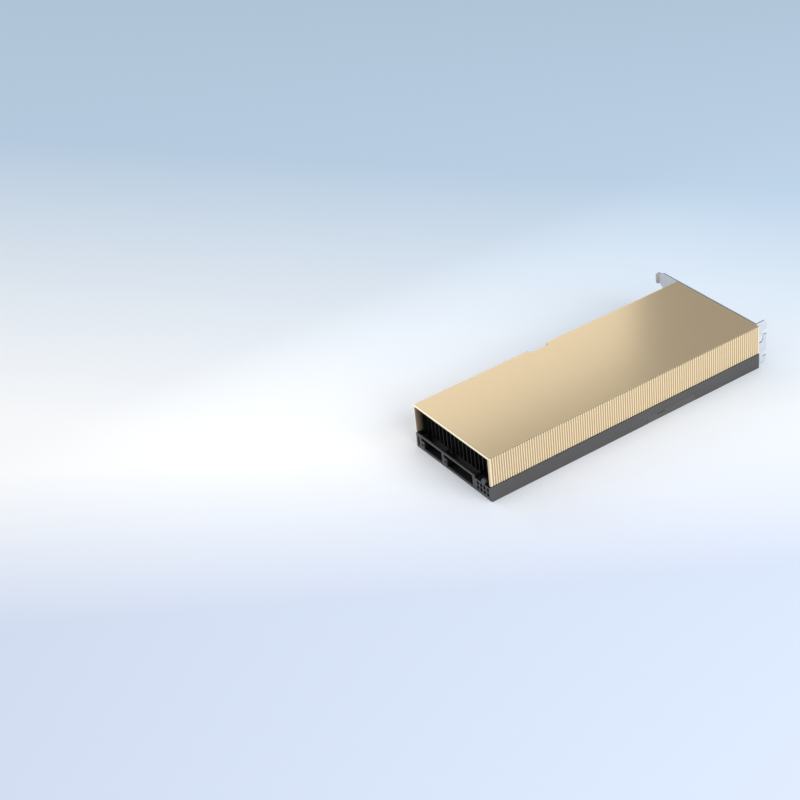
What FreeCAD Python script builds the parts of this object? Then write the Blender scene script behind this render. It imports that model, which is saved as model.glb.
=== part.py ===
import FreeCAD, Part
import os
from math import atan2, cos, pi, radians, sin, sqrt, tan

# A full-height, dual-slot accelerator card with a passive heatsink.
# It lies on its back: +X runs to the slot bracket, +Y to the edge connector, +Z out of the heatsink side.
# The origin is the middle of the back face, under the cover. All sizes are in millimetres.

# Envelope
card_length = 267.7            # front end to the bracket's inner face
cover_width = 97.4             # across the cover, from the fluted side to the plain side
card_height = 39.04            # back face to the top of the cover

# Cover
cover_top_sheet = 1.5
cover_near_wall = 2.2          # the fluted wall
cover_far_wall = 1.3
cover_rim_chamfer = 0.35
flute_pitch = 2.19
flute_width = 1.3
flute_depth = 0.62
flute_facets = 4
notch_from_bracket = 137.85    # bracket's inner face to the notch in the far edge
notch_length = 19.0
notch_depth = 3.6
notch_slope = 1.2              # how far each side of the notch leans

# Frame
frame_height = 13.2
frame_wall = 1.6
seam_gap = 0.3                 # frame to the cover's lower edge
lip_height = 5.6               # locating lip inside the cover, above the frame
lip_thickness = 1.0
lip_clearance = 0.1
lip_setback = 10.0             # front end to the start of the lip
shoulder_height = 2.8          # thicker top of the frame's walls, under the lip
rail_height = 1.6
sill_height = 1.9
ledge_width = 5.0
ledge_height = 3.3
rear_ledge_width = 18.0
boss_width = 8.0
boss_depth = 7.0
boss_height = 5.0

# Front end, from the near corner to the far one
divider_width = 2.7            # post beside the power header
post_web = 2.2
post_block_width = 3.6
post_block_top = 8.2
post_depth = 7.0
inner_post_distance = 61.5     # near side to the web of the middle post
outer_post_distance = 91.2     # near side to the web of the outer post
corner_slot_bottom = 2.0
corner_slot_top = 10.6
extender_hole_radius = 1.25
extender_hole_depth = 6.0
extender_hole_height = 5.05

# Board and what closes it in
backplate_thickness = 1.2
backplate_clearance = 0.2
film_thickness = 0.2
film_clearance = 0.5
board_gap = 1.47               # backplate to the underside of the board
board_thickness = 1.57
board_clearance = 0.3
board_overhang = 5.5           # board beyond the far side of the cover
tongue_reach = 8.25            # edge connector beyond the board's edge
tongue_from_bracket = 44.0
short_contacts = 11
long_contacts = 71
contact_pitch = 1.0
contact_width = 0.7
contact_length = 4.6
contact_thickness = 0.06
contact_edge_gap = 0.9
tongue_margin = 0.325          # board beside the first and last contact space
key_width = 1.9
tongue_chamfer = 0.8
hook_gap = 2.2
hook_width = 3.6
hook_reach = 6.4
hook_toe = 1.4

# Heatsink
fin_setback = 8.5              # front end to the fins
fin_end_gap = 14.8             # fins to the bracket
fin_pitch = 5.12
fin_thickness = 0.9
fin_top_gap = 0.24
fin_side_clearance = 0.5
base_thickness = 2.4
base_clearance = 0.3

# Package
package_from_bracket = 118.85
substrate_size = 55.0
substrate_thickness = 1.4
interposer_size = 44.0
interposer_thickness = 0.2
die_length = 26.0
die_width = 32.0
die_thickness = 0.72
memory_length = 8.0
memory_width = 10.0
memory_rows = 3
memory_gap = 0.6
stiffener_width = 4.0
stiffener_thickness = 0.6
compound_thickness = 0.1

# Power supply parts on the board
supply_rows = 5
supply_pitch = 12.0
stage_length = 5.0
stage_width = 6.0
stage_thickness = 1.0
stage_pad_thickness = 0.5
inductor_size = 9.4
inductor_chamfer = 1.2
inductor_height = 2.9
supply_gap = 2.0               # between a power stage, its inductor and the package
bulk_length = 4.3
bulk_width = 7.3
bulk_height = 2.8
bulk_columns = 2
bulk_rows = 6
bulk_pitch = 9.5
bulk_from_front = 42.0
ceramic_length = 2.0
ceramic_width = 1.25
ceramic_height = 1.1
ceramic_count = 12
ceramic_pitch = 4.0
chip_size = 9.0
chip_thickness = 1.2
chip_count = 3
chip_pitch = 16.0
chip_from_bracket = 30.0

# Power header
header_columns = 4
header_rows = 2
header_pitch = 4.2
header_width = 19.4
header_height = 9.7
header_depth = 13.0
header_shelf = 3.5             # rear step that stands on the board
header_clearance = 0.15
header_seat_gap = 0.3
header_recess = 0.1
socket_size = 3.4
socket_chamfer = 0.8
socket_depth = 10.5
latch_width = 4.8
latch_length = 3.8
latch_height = 2.4
pin_size = 1.0
pin_blade_start = 5.0          # socket mouth to the tip of the pin
pin_rise = 1.05
pin_column_gap = 3.0
pin_tail = 0.5
bay_depth = 26.0
bay_headroom = 0.5

# Cap over the bridge contacts
bridge_from_bracket = 67.85
bridge_length = 49.0
bridge_height = 6.7
bridge_clearance = 0.15
bridge_skin = 0.7
grip_length = 8.0
grip_height = 0.7
grip_from_end = 10.0
grip_drop = 2.1                # top of the cap to the top of the slot, below the skin
bridge_groups = 3
bridge_group_pitch = 16.0
bridge_contact_count = 12
bridge_contact_width = 0.6
bridge_contact_length = 3.4

# Bracket
sheet = 0.86
bracket_bottom = 0.53
bracket_height = 38.74
slot_count = 2
slot_pitch = 20.32
bend_radius = 0.6              # inside the bend
tab_length = 11.43
tab_inset = 3.9                # near side of the cover to the tab's face
tab_corner = 2.5
screw_notch_width = 4.2
screw_notch_depth = 5.0
screw_notch_height = 7.5       # bottom of the bracket to the first notch
tab_hole_radius = 3.4
tab_hole_from_plate = 4.6
tab_hole_height = 22.6
bracket_reach = 122.4          # near side of the cover to the tails' ends
tail_width = 10.19
tail_drop = 1.75               # upper side of a slot's plate to the upper side of its tail
lower_neck = 11.0              # start of the lower shoulder to the tail's end
lower_shoulder = 7.3
upper_neck = 7.9
upper_shoulder = 2.7
tail_corner = 1.5
joggle_offset = 2.0
joggle_length = 1.5
joggle_tip = 0.5               # the step to the tails' ends
vent_width = 3.0
vent_height = 9.8
vent_corner = 0.9
vent_gap = 1.5
vent_rows = 2
vent_bottom = 15.3

# Fasteners
screw_radius = 1.2
thread_clearance = 0.05
hole_clearance = 0.2
countersunk_radius = 2.3
countersunk_recess = 0.1
spacer_radius = 2.5
spring_head_radius = 2.3
spring_head_height = 0.9
spring_head_clearance = 1.0
spring_plate_thickness = 0.8
spring_arm_width = 7.0
spring_eye_margin = 1.0        # eye beyond the arm's side
heatsink_screw_spacing = 68.0
heatsink_boss_radius = 3.4
pan_head_radius = 2.4
pan_head_top_radius = 1.8
pan_head_height = 1.3
bracket_screw_count = 3
bracket_screw_length = 6.0
bracket_screw_height = 6.8
bracket_screw_spacing = 38.0
cover_screw_count = 4
cover_screw_margin = 22.0
cover_screw_height = 3.0       # above the cover's lower edge
screw_run_margin = 10.0        # end of a ledge to its nearest backplate screw
screw_hole_cover = 0.9         # ledge left over the end of a backplate screw's hole
screw_tip_gap = 0.2            # tip of a backplate screw to the end of its hole
hexagon_sides = 6              # drive recesses and spacers
drive_radius = 0.8
drive_depth = 0.5
small_sides = 8                # small screws and their holes are many-sided

# Levels
board_bottom = backplate_thickness + board_gap
board_top = board_bottom + board_thickness
base_bottom = board_top + ledge_height
base_top = base_bottom + base_thickness
cover_bottom = frame_height + seam_gap
fin_top = card_height - cover_top_sheet - fin_top_gap

# Lines in plan
front_x = -card_length / 2
rear_x = card_length / 2
near_y = -cover_width / 2
far_y = cover_width / 2
inner_front_x = front_x + frame_wall
inner_rear_x = rear_x - frame_wall
base_front_x = front_x + fin_setback
base_rear_x = rear_x - fin_end_gap
board_front_x = front_x + post_depth + board_clearance
board_rear_x = inner_rear_x - board_clearance
board_far_y = far_y + board_overhang
board_near_y = near_y + frame_wall + board_clearance
notch_rear_x = rear_x - notch_from_bracket
notch_front_x = notch_rear_x - notch_length
bay_rear_x = front_x + bay_depth
header_near_y = near_y + frame_wall + header_clearance
header_far_y = header_near_y + header_width
divider_near_y = header_far_y + header_clearance
bay_far_y = divider_near_y + divider_width
bridge_rear_x = rear_x - bridge_from_bracket
bridge_front_x = bridge_rear_x - bridge_length
package_x = rear_x - package_from_bracket
near_lip_y = near_y + cover_near_wall + lip_clearance
far_lip_inset = cover_far_wall + lip_clearance

# Hole radii
thread_radius = screw_radius + thread_clearance
passing_radius = screw_radius + hole_clearance

# How far a cutting shape runs past the face that it cuts
past = 1.0


def point(x, y, z=0.0):
    return FreeCAD.Vector(x, y, z)


along_x = point(1, 0, 0)
along_y = point(0, 1, 0)
along_z = point(0, 0, 1)


def block(x0, x1, y0, y1, z0, z1):
    """A box between two corners."""
    return Part.makeBox(x1 - x0, y1 - y0, z1 - z0, point(x0, y0, z0))


def rod(radius, start, axis, length):
    return Part.makeCylinder(radius, length, start, axis)


def face_of(points):
    """A flat face with straight edges through the points."""
    return Part.Face(Part.makePolygon(points + [points[0]]))


def prism(plan, z0, z1):
    """An upright solid on an outline given as (x, y) pairs."""
    return face_of([point(x, y, z0) for x, y in plan]).extrude(point(0, 0, z1 - z0))


def side_prism(section, y0, y1):
    """A solid along Y on an outline given as (x, z) pairs."""
    return face_of([point(x, y0, z) for x, z in section]).extrude(point(0, y1 - y0, 0))


def end_prism(section, x0, x1):
    """A solid along X on an outline given as (y, z) pairs."""
    return face_of([point(x0, y, z) for y, z in section]).extrude(point(x1 - x0, 0, 0))


def ring_of(sides, radius, turn=0.0):
    """Corners of a regular polygon, as (x, y) pairs."""
    angles = [radians(turn) + 2 * pi * index / sides for index in range(sides)]
    return [(radius * cos(angle), radius * sin(angle)) for angle in angles]


def aimed(shape, start, axis):
    """Turn what was made upright at the origin along an axis, and put it at its start."""
    shape.Placement = FreeCAD.Placement(start, FreeCAD.Rotation(along_z, axis)).multiply(shape.Placement)
    return shape


def small_rod(radius, start, axis, length, sides=small_sides):
    return aimed(prism(ring_of(sides, radius), 0, length), start, axis)


def small_cone(start_radius, end_radius, start, axis, length):
    rings = [[point(x, y, z) for x, y in ring_of(small_sides, radius)]
             for z, radius in ((0, start_radius), (length, end_radius))]
    wires = [Part.makePolygon(ring + ring[:1]) for ring in rings]
    return aimed(Part.makeLoft(wires, True, True), start, axis)


def fused(solids):
    return solids[0].multiFuse(solids[1:]).removeSplitter()


def spaced(first, last, count):
    """Evenly spaced places, both ends included."""
    step = (last - first) / max(count - 1, 1)
    return [first + step * index for index in range(count)]


def centred(count, pitch, middle=0.0):
    """Places at a pitch, spread evenly about a middle."""
    return [middle + (index - (count - 1) / 2) * pitch for index in range(count)]


def save(name, shape):
    shape.exportStep(os.path.join("parts", name + ".step"))


def save_group(name, solids):
    save(name, Part.makeCompound(solids))


# Outlines shared by the cover, the frame, the board and the base

def far_edge(inset, x_rear, x_front):
    """The far side from rear to front, stepped round the notch and moved inwards by an inset."""
    slant = sqrt(notch_slope ** 2 + notch_depth ** 2)
    shift = inset * (slant - notch_slope) / notch_depth
    edge_y = far_y - inset
    floor_y = edge_y - notch_depth
    return [
        (x_rear, edge_y),
        (notch_rear_x + shift, edge_y),
        (notch_rear_x - notch_slope + shift, floor_y),
        (notch_front_x + notch_slope - shift, floor_y),
        (notch_front_x - shift, edge_y),
        (x_front, edge_y),
    ]


def behind_notch(inset):
    """Where the notch starts on its bracket side, on a line moved inwards by an inset."""
    return far_edge(inset, 0, 0)[1][0]


def card_outline(near_inset, far_inset, x_front, x_rear):
    """The card's plan, moved inwards by one inset on the near side and another on the far side."""
    return [(x_front, near_y + near_inset), (x_rear, near_y + near_inset)] + far_edge(far_inset, x_rear, x_front)


def bay_outline(inset, x_front, x_rear):
    """The plan inside the frame's walls, with the header's bay cut out of its near front corner."""
    near = near_y + inset
    bay_edge = bay_far_y + inset - frame_wall
    bay_rear = bay_rear_x + inset - frame_wall
    corner = [(x_front, bay_edge), (bay_rear, bay_edge), (bay_rear, near), (x_rear, near)]
    return corner + far_edge(inset, x_rear, x_front)


# Cover

def fluted_edge():
    """The near edge from front to rear: flat lands, and between them grooves that follow half an ellipse."""
    count = int((card_length - flute_width) / flute_pitch)
    half = flute_width / 2
    angles = [pi * step / flute_facets for step in range(flute_facets + 1)]
    edge = [(front_x, near_y)]
    for middle in centred(count, flute_pitch):
        edge += [(middle - half * cos(angle), near_y + flute_depth * sin(angle)) for angle in angles]
    return edge + [(rear_x, near_y)]


def top_cover():
    body = prism(fluted_edge() + far_edge(0.0, rear_x, front_x), cover_bottom, card_height)
    channel = card_outline(cover_near_wall, cover_far_wall, front_x - past, rear_x + past)
    body = body.cut(prism(channel, cover_bottom - past, card_height - cover_top_sheet))
    size = cover_rim_chamfer
    rim = side_prism(
        [(front_x - past, card_height + past), (front_x - past, card_height - size - past),
         (front_x + size + past, card_height + past)],
        near_y - past, far_y + past)
    return body.cut([rim] + [cover_screw_hole(x) for x in cover_screw_places()])


# Screws that hold the cover to the frame's lip, on the far side

def cover_screw_places():
    """Two screws on each side of the notch."""
    front = spaced(front_x + cover_screw_margin, notch_front_x - cover_screw_margin, cover_screw_count // 2)
    rear = spaced(notch_rear_x + cover_screw_margin, rear_x - cover_screw_margin, cover_screw_count // 2)
    return front + rear


def cover_screw_level():
    return cover_bottom + cover_screw_height


def countersunk_head(centre, axis):
    """The head's cone, from its flat top down along the axis to the shank."""
    return small_cone(countersunk_radius, screw_radius, centre, axis, countersunk_radius - screw_radius)


def hex_socket(centre, axis):
    """A six-sided drive recess, cut down along the axis."""
    return aimed(prism(ring_of(hexagon_sides, drive_radius), -past, drive_depth), centre, axis)


def countersunk_screw(centre, axis, length):
    """A flat-headed screw: the centre of its head's top, the way it points and its whole length."""
    shank = small_rod(screw_radius, centre, axis, length)
    return shank.fuse(countersunk_head(centre, axis)).removeSplitter().cut(hex_socket(centre, axis))


def countersunk_hole(centre, axis, length):
    """What a flat-headed screw cuts out of the sheet that it holds; centre is the head's top."""
    mouth = small_rod(countersunk_radius, centre - axis * past, axis, past)
    return fused([countersunk_head(centre, axis), small_rod(passing_radius, centre, axis, length), mouth])


def cover_screw_head(x):
    return point(x, far_y - countersunk_recess, cover_screw_level())


def cover_screw_hole(x):
    return countersunk_hole(cover_screw_head(x), -along_y, cover_far_wall + lip_clearance)


def cover_screw_length():
    return far_lip_inset + lip_thickness - countersunk_recess


def cover_screws():
    return [countersunk_screw(cover_screw_head(x), -along_y, cover_screw_length()) for x in cover_screw_places()]


# Frame

def frame_walls():
    outer = prism(card_outline(0, 0, front_x, rear_x), 0, frame_height)
    inner = prism(card_outline(frame_wall, frame_wall, inner_front_x, inner_rear_x), -past, frame_height + past)
    return outer.cut(inner)


def frame_lip():
    """Shoulders on the long walls and the lip on them that the cover drops over."""
    x_front = front_x + lip_setback
    near_inner = cover_near_wall + lip_clearance + lip_thickness
    far_inner = far_lip_inset + lip_thickness
    wall_middle = frame_wall / 2
    shoulder = prism(card_outline(wall_middle, wall_middle, x_front, inner_rear_x),
                     frame_height - shoulder_height, frame_height)
    lip = prism(card_outline(cover_near_wall + lip_clearance, far_lip_inset, x_front, inner_rear_x),
                frame_height - shoulder_height, frame_height + lip_height)
    middle = prism(card_outline(near_inner, far_inner, x_front - past, inner_rear_x + past),
                   -past, card_height)
    over_header = block(front_x, bay_rear_x, near_y + frame_wall, divider_near_y,
                        -past, header_bottom() + header_height + header_clearance)
    return shoulder.fuse(lip).cut([middle, over_header])


def frame_ledges():
    """The ring of ledges that the board hangs from and the heatsink's base stands on."""
    ring = prism(bay_outline(frame_wall, base_front_x, inner_rear_x), board_top, base_bottom)
    inner = bay_outline(frame_wall + ledge_width, base_front_x + ledge_width, inner_rear_x - rear_ledge_width)
    ring = ring.cut(prism(inner, board_top - past, base_bottom + past))
    window = block(bridge_front_x, bridge_rear_x, near_y, near_y + frame_wall + ledge_width,
                   board_top - past, base_bottom + past)
    return ring.cut(window)


def frame_bosses():
    """Blocks behind the rear wall that the bracket's screws run into."""
    return [block(inner_rear_x - boss_depth, inner_rear_x, y - boss_width / 2, y + boss_width / 2,
                  board_top, board_top + boss_height) for y in bracket_screw_places()]


def front_openings():
    """Everything that is open in the front wall, from the header's bay to the slot at the far corner."""
    x0 = front_x - past
    x1 = inner_front_x + past
    rail_bottom = frame_height - rail_height
    inner_web_y = near_y + inner_post_distance
    outer_web_y = near_y + outer_post_distance
    inner_block_y = inner_web_y - post_block_width
    outer_block_y = outer_web_y - post_block_width
    return [
        block(x0, x1, near_y + frame_wall, divider_near_y, header_bottom(), frame_height + past),
        block(x0, x1, bay_far_y, inner_block_y, sill_height, rail_bottom),
        block(x0, x1, inner_block_y, inner_web_y, post_block_top, rail_bottom),
        block(x0, x1, inner_web_y + post_web, outer_block_y, sill_height, rail_bottom),
        block(x0, x1, outer_block_y, outer_web_y, post_block_top, rail_bottom),
        block(x0, x1, outer_web_y + post_web, far_y - frame_wall, corner_slot_bottom, corner_slot_top),
    ]


def front_posts():
    """The header's divider, two webs and the threaded blocks beside them."""
    x1 = front_x + post_depth
    rail_bottom = frame_height - rail_height
    floor = backplate_thickness + backplate_clearance
    posts = [block(front_x, x1, divider_near_y, bay_far_y, floor, rail_bottom)]
    for distance in (inner_post_distance, outer_post_distance):
        web_y = near_y + distance
        posts.append(block(front_x, x1, web_y, web_y + post_web, floor, rail_bottom))
        posts.append(block(front_x, x1, web_y - post_block_width, web_y, floor, post_block_top))
    return posts


def extender_hole_places():
    middle = post_block_width / 2
    return [near_y + distance - middle for distance in (inner_post_distance, outer_post_distance)]


def bracket_screw_places():
    return centred(bracket_screw_count, bracket_screw_spacing)


def chassis_frame():
    frame = frame_walls()
    air_way = block(inner_rear_x - past, rear_x + past, near_y + frame_wall, far_y - frame_wall,
                    base_top, card_height)
    board_way = block(behind_notch(frame_wall), inner_rear_x, far_y - frame_wall - past, far_y + past,
                      -past, board_top)
    bridge_way = block(bridge_front_x, bridge_rear_x, near_y - past, near_y + frame_wall + past,
                       -past, bridge_height)
    frame = frame.cut(front_openings() + [air_way, board_way, bridge_way])
    frame = fused([frame, frame_lip(), frame_ledges()] + front_posts() + frame_bosses())
    holes = [rod(extender_hole_radius, point(front_x - past, y, extender_hole_height), along_x,
                 extender_hole_depth + past) for y in extender_hole_places()]
    holes += [small_rod(thread_radius, point(rear_x + past, y, bracket_screw_height), -along_x,
                  bracket_screw_length + past) for y in bracket_screw_places()]
    holes += [small_rod(thread_radius, point(x, y, board_top - past), along_z, past + ledge_height - screw_hole_cover)
              for x, y in backplate_screw_places()]
    holes += [small_rod(thread_radius, point(x, far_y, cover_screw_level()), -along_y,
                  far_lip_inset + lip_thickness + past) for x in cover_screw_places()]
    return frame.cut(holes)


# Backplate, film, spacers and screws under the board

def backplate_screw_places():
    """Along the ledges, in runs clear of the header's bay, the bridge contacts and the notch."""
    near_row = near_y + frame_wall + ledge_width / 2
    far_row = far_y - frame_wall - ledge_width / 2
    near_runs = [(bay_rear_x, bridge_front_x, 2), (bridge_rear_x, inner_rear_x, 2)]
    far_runs = [(base_front_x, notch_front_x, 2), (notch_rear_x, inner_rear_x, 3)]
    return [(x, row) for row, runs in ((near_row, near_runs), (far_row, far_runs))
            for start, end, count in runs
            for x in spaced(start + screw_run_margin, end - screw_run_margin, count)]


def heatsink_screw_places():
    offsets = centred(2, heatsink_screw_spacing)
    return [(package_x + dx, dy) for dx in offsets for dy in offsets]


def board_side_outline(inset, x_front, x_rear, far_line):
    """A plan that stays inside the walls up to the notch and reaches a line beyond them behind it."""
    plan = [(x_front, near_y + inset), (x_rear, near_y + inset), (x_rear, far_line), (behind_notch(inset), far_line)]
    return plan + far_edge(inset, x_rear, x_front)[1:]


def backplate():
    inset = frame_wall + backplate_clearance
    plan = board_side_outline(inset, front_x + inset, rear_x - inset, far_y)
    plate = prism(plan, 0, backplate_thickness)
    heads = [small_rod(spring_head_radius + spring_head_clearance, point(x, y, -past), along_z,
                 backplate_thickness + 2 * past) for x, y in heatsink_screw_places()]
    screws = [countersunk_hole(point(x, y, countersunk_recess), along_z, backplate_thickness)
              for x, y in backplate_screw_places()]
    return plate.cut(heads + screws)


def insulating_film():
    z0 = backplate_thickness
    inset = frame_wall + ledge_width + film_clearance
    plan = card_outline(inset, inset, header_rear_x() + board_clearance, board_rear_x)
    film = prism(plan, z0, z0 + film_thickness)
    holes = [small_rod(spring_head_radius + spring_head_clearance, point(x, y, z0 - past), along_z,
                       2 * past + film_thickness) for x, y in heatsink_screw_places()]
    return film.cut(holes)


def board_spacers():
    spacers = []
    for x, y in backplate_screw_places():
        hexagon = small_rod(spacer_radius, point(x, y, backplate_thickness), along_z, board_gap, hexagon_sides)
        spacers.append(hexagon.cut(small_rod(passing_radius, point(x, y, 0), along_z, board_top)))
    return spacers


def backplate_screws():
    length = base_bottom - screw_hole_cover - screw_tip_gap - countersunk_recess
    return [countersunk_screw(point(x, y, countersunk_recess), along_z, length)
            for x, y in backplate_screw_places()]


# Board

def tongue_length():
    contacts = (short_contacts + long_contacts) * contact_pitch
    return contacts + key_width + 4 * tongue_margin


def tongue_outline():
    """The board's edge from the bracket end forwards: connector tongue, key, and the retention hook."""
    base_y = board_far_y
    tip_y = base_y + tongue_reach
    c = tongue_chamfer
    rear = rear_x - tongue_from_bracket
    key_rear = rear - short_contacts * contact_pitch - 2 * tongue_margin
    key_front = key_rear - key_width
    front = rear - tongue_length()
    hook_rear = front - hook_gap
    hook_front = hook_rear - hook_width
    hook_y = base_y + hook_reach
    toe_x = hook_front - hook_toe
    toe_y = hook_y - hook_toe
    return [
        (rear, base_y), (rear, tip_y - c), (rear - c, tip_y),
        (key_rear + c, tip_y), (key_rear, tip_y - c), (key_rear, base_y + c),
        (key_front, base_y + c), (key_front, tip_y - c), (key_front - c, tip_y),
        (front + c, tip_y), (front, tip_y - c), (front, base_y + c),
        (hook_rear, base_y + c), (hook_rear, hook_y), (toe_x, hook_y),
        (toe_x, toe_y), (hook_front, toe_y - hook_toe), (hook_front, base_y),
    ]


def header_clearing(z0):
    """The corner of the board and the film that makes room for the header."""
    return block(front_x, header_rear_x() + board_clearance, near_y, divider_near_y + board_clearance,
                 z0 - past, z0 + board_thickness + past)


def circuit_board():
    inset = frame_wall + board_clearance
    plan = [(board_front_x, board_near_y), (board_rear_x, board_near_y), (board_rear_x, board_far_y)]
    plan += tongue_outline()
    plan += [(behind_notch(inset), board_far_y)] + far_edge(inset, board_rear_x, board_front_x)[1:]
    board = prism(plan, board_bottom, board_top)
    holes = [header_clearing(board_bottom)]
    for x, y in backplate_screw_places() + heatsink_screw_places():
        holes.append(small_rod(passing_radius, point(x, y, board_bottom - past), along_z,
                               board_thickness + 2 * past))
    for y in header_column_places():
        for x in pin_tail_places():
            half = pin_size / 2 + thread_clearance
            holes.append(block(x - half, x + half, y - half, y + half, board_bottom - past, board_top + past))
    return board.cut(holes)


def contact_rows():
    """Middles of the contacts, from the bracket end forwards, on both sides of the key."""
    rear = rear_x - tongue_from_bracket - tongue_margin
    first = [rear - (index + 0.5) * contact_pitch for index in range(short_contacts)]
    front_start = rear - short_contacts * contact_pitch - 2 * tongue_margin - key_width
    return first + [front_start - (index + 0.5) * contact_pitch for index in range(long_contacts)]


def pads(middles, width, y0, y1, levels):
    """A flat pad at each place and on each level."""
    return [block(x - width / 2, x + width / 2, y0, y1, z, z + contact_thickness)
            for x in middles for z in levels]


def edge_contacts():
    tip = board_far_y + tongue_reach - contact_edge_gap
    levels = (board_top, board_bottom - contact_thickness)
    return pads(contact_rows(), contact_width, tip - contact_length, tip, levels)


def bridge_contacts():
    middle = (bridge_front_x + bridge_rear_x) / 2
    places = []
    for group in centred(bridge_groups, bridge_group_pitch, middle):
        places += centred(bridge_contact_count, contact_pitch, group)
    return pads(places, bridge_contact_width, board_near_y, board_near_y + bridge_contact_length, [board_top])


# Package, from the board up

def plate_on(z0, length, width, thickness, x=package_x, y=0.0):
    """A flat rectangular piece centred over a place."""
    return block(x - length / 2, x + length / 2, y - width / 2, y + width / 2, z0, z0 + thickness)


def substrate_top():
    return board_top + substrate_thickness


def interposer_top():
    return substrate_top() + interposer_thickness


def die_top():
    return interposer_top() + die_thickness


def memory_stacks():
    """A column of memory on each side of the processor."""
    stacks = []
    reach = die_length / 2 + memory_gap + memory_length / 2
    for x in (package_x - reach, package_x + reach):
        for y in centred(memory_rows, memory_width + memory_gap):
            stacks.append(plate_on(interposer_top(), memory_length, memory_width, die_thickness, x, y))
    return stacks


def stiffener_ring():
    inside = substrate_size - 2 * stiffener_width
    ring = plate_on(substrate_top(), substrate_size, substrate_size, stiffener_thickness)
    return ring.cut(plate_on(substrate_top() - past, inside, inside, stiffener_thickness + 2 * past))


def compound_span():
    """Length and width of the dies under the plinth, taken together."""
    length = die_length + 2 * (memory_gap + memory_length)
    width = max(die_width, memory_rows * memory_width + (memory_rows - 1) * memory_gap)
    return length, width


# Power supply parts

def supply_columns():
    """Middles of the power stages and the inductors, on both sides of the package."""
    stage = substrate_size / 2 + supply_gap + stage_length / 2
    coil = stage + stage_length / 2 + supply_gap + inductor_size / 2
    return [(package_x + side * stage, package_x + side * coil) for side in (-1, 1)]


def supply_places():
    return centred(supply_rows, supply_pitch)


def power_stages():
    return [plate_on(board_top, stage_length, stage_width, stage_thickness, x, y)
            for x, coil_x in supply_columns() for y in supply_places()]


def inductor(x, y):
    """A moulded inductor with its four upright edges cut off."""
    half = inductor_size / 2
    cut = half - inductor_chamfer
    corners = [(half, -cut), (half, cut), (cut, half), (-cut, half),
               (-half, cut), (-half, -cut), (-cut, -half), (cut, -half)]
    return prism([(x + dx, y + dy) for dx, dy in corners], board_top, board_top + inductor_height)


def inductors():
    return [inductor(coil_x, y) for x, coil_x in supply_columns() for y in supply_places()]


def strip_width():
    return (supply_rows - 1) * supply_pitch + inductor_size


def inductor_pads():
    z0 = board_top + inductor_height
    return [plate_on(z0, inductor_size, strip_width(), base_bottom - z0, coil_x) for x, coil_x in supply_columns()]


def power_stage_pads():
    z0 = board_top + stage_thickness
    return [plate_on(z0, stage_length, strip_width(), stage_pad_thickness, x) for x, coil_x in supply_columns()]


def bulk_capacitors():
    middle = front_x + bulk_from_front
    return [plate_on(board_top, bulk_length, bulk_width, bulk_height, x, y)
            for x in centred(bulk_columns, bulk_pitch, middle) for y in centred(bulk_rows, bulk_pitch)]


def ceramic_capacitors():
    """Rows beside the two free edges of the package."""
    reach = substrate_size / 2 + supply_gap
    return [plate_on(board_top, ceramic_width, ceramic_length, ceramic_height, x, y)
            for y in (-reach, reach) for x in centred(ceramic_count, ceramic_pitch, package_x)]


def control_chips():
    x = rear_x - chip_from_bracket
    return [plate_on(board_top, chip_size, chip_size, chip_thickness, x, y) for y in centred(chip_count, chip_pitch)]


# Heatsink

def heatsink_base():
    """Base plate with a plinth over the dies, a land over each row of power stages, and screw bosses."""
    plan = bay_outline(frame_wall + base_clearance, base_front_x, base_rear_x)
    parts = [prism(plan, base_bottom, base_top)]
    length, width = compound_span()
    plinth_bottom = die_top() + compound_thickness
    parts.append(plate_on(plinth_bottom, length, width, base_top - plinth_bottom))
    land_bottom = board_top + stage_thickness + stage_pad_thickness
    for x, coil_x in supply_columns():
        parts.append(plate_on(land_bottom, stage_length, strip_width(), base_top - land_bottom, x))
    for x, y in heatsink_screw_places():
        parts.append(small_rod(heatsink_boss_radius, point(x, y, board_top), along_z, base_top - board_top))
    holes = [small_rod(thread_radius, point(x, y, board_top - past), along_z, base_bottom - board_top + 2 * past)
             for x, y in heatsink_screw_places()]
    return fused(parts).cut(holes)


def fin_places():
    """As many fins as the pitch allows between the frame's two lips."""
    low = near_lip_y + lip_thickness + fin_side_clearance
    high = far_y - far_lip_inset - lip_thickness - fin_side_clearance
    count = int((high - low - fin_thickness) / fin_pitch) + 1
    return centred(count, fin_pitch, (low + high) / 2)


def heatsink_fins():
    """Upright plates. Those behind the header are stepped over it, and the far one stops for the notch."""
    notch_way = prism(
        [(notch_front_x - notch_depth, far_y), (notch_rear_x + notch_depth, far_y)]
        + far_edge(far_lip_inset + lip_thickness + fin_side_clearance, notch_rear_x + notch_depth,
                   notch_front_x - notch_depth),
        0, card_height)
    header_way = block(front_x, bay_rear_x + base_clearance, near_y, bay_far_y + base_clearance,
                       0, latch_top() + bay_headroom)
    fins = []
    for y in fin_places():
        half = fin_thickness / 2
        fin = block(base_front_x, base_rear_x, y - half, y + half, base_top, fin_top)
        fins += fin.cut([notch_way, header_way]).Solids
    return fins


def spring_plate():
    """A cross of two arms behind the board, with an eye at each end."""
    z0 = board_bottom - spring_plate_thickness
    reach = heatsink_screw_spacing / sqrt(2)
    arms = []
    for angle in (45, 135):
        arm = block(-reach, reach, -spring_arm_width / 2, spring_arm_width / 2, 0, spring_plate_thickness)
        arm.rotate(point(0, 0), along_z, angle)
        arm.translate(point(package_x, 0, z0))
        arms.append(arm)
    eyes = [small_rod(spring_arm_width / 2 + spring_eye_margin, point(x, y, z0), along_z, spring_plate_thickness)
            for x, y in heatsink_screw_places()]
    holes = [small_rod(passing_radius, point(x, y, z0 - past), along_z, spring_plate_thickness + 2 * past)
             for x, y in heatsink_screw_places()]
    return fused(arms + eyes).cut(holes)


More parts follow.
